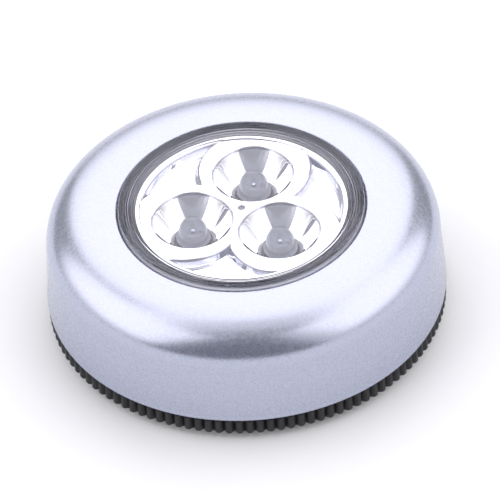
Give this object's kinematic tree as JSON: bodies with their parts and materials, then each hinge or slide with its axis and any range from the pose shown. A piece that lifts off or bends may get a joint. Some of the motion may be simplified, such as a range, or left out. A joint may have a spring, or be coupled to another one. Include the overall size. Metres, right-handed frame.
{
  "type": "puck light",
  "caption": "Round stick-on push light: clear press-down head over a mirrored cup reflector, satin silver cover, and a black ribbed base that twists off for the cells.",
  "frame": {"origin": "centre of the adhesive pad's outer face, the face that sticks to the cabinet, wall or ceiling", "axes": "+Z out of the mounting surface along the light's own axis, towards the clear head. +Y through the first LED, +X to the side where the switch is"},
  "size_m": [0.068, 0.068, 0.0225],
  "materials": {
    "silver_paint": "satin metallic paint on ABS, fine flake",
    "clear_plastic": "clear polished acrylic",
    "mirror_plating": "vacuum metallised plastic, bright",
    "led_epoxy": "water-clear epoxy",
    "black_plastic": "fine moulded texture",
    "adhesive_foam": "closed-cell foam with a peel-off liner",
    "board_mask": "black solder mask",
    "resistor_ceramic": "ceramic with tinned ends",
    "nickel_plate": "nickel plated spring steel",
    "zinc_steel": "zinc plated",
    "cell_jacket": "plain shrink jacket",
    "switch_plastic": "moulded",
    "switch_stem": "moulded",
    "red_lead": "wire insulation",
    "black_lead": "wire insulation",
    "white_lead": "wire insulation"
  },
  "bodies": {
    "base": {"base": "black_plastic", "foam_pad": "adhesive_foam"},
    "housing": {"housing_shell": "silver_paint", "battery_chassis": "black_plastic", "chassis_screw_1": "zinc_steel", "chassis_screw_2": "zinc_steel", "chassis_screw_3": "zinc_steel", "cell_1": "cell_jacket", "cell_2": "cell_jacket", "cell_3": "cell_jacket", "contact_positive": "nickel_plate", "contact_negative": "nickel_plate", "link_contact_1": "nickel_plate", "link_contact_2": "nickel_plate", "switch_body": "switch_plastic", "switch_spring": "zinc_steel", "lead_positive": "red_lead", "lead_switched": "white_lead", "lead_negative": "black_lead"},
    "head": {"lens": "clear_plastic", "reflector": "mirror_plating", "circuit_board": "board_mask", "led_1": "led_epoxy", "led_2": "led_epoxy", "led_3": "led_epoxy", "resistor": "resistor_ceramic"},
    "plunger": {"switch_plunger": "switch_stem"}
  },
  "joints": [
    {"name": "base_twist", "type": "hinge", "parent": "base", "child": "housing", "pos_m": [0, 0, 0.0042], "axis": [0, 0, 1], "range_deg": [0, 25]},
    {"name": "head_press", "type": "slide", "parent": "housing", "child": "head", "axis": [0, 0, -1], "range_m": [0, 0.0012], "stiffness_N_per_m": 600, "springref_m": -0.0015, "deforming": ["lead_switched", "lead_negative"]},
    {"name": "plunger_slide", "type": "slide", "parent": "housing", "child": "plunger", "axis": [0, 0, -1], "range_m": [0, 0.0012], "deforming": ["switch_spring"]}
  ],
  "couplings": [
    {"joint": "plunger_slide", "follows": "head_press", "ratio": 1}
  ]
}
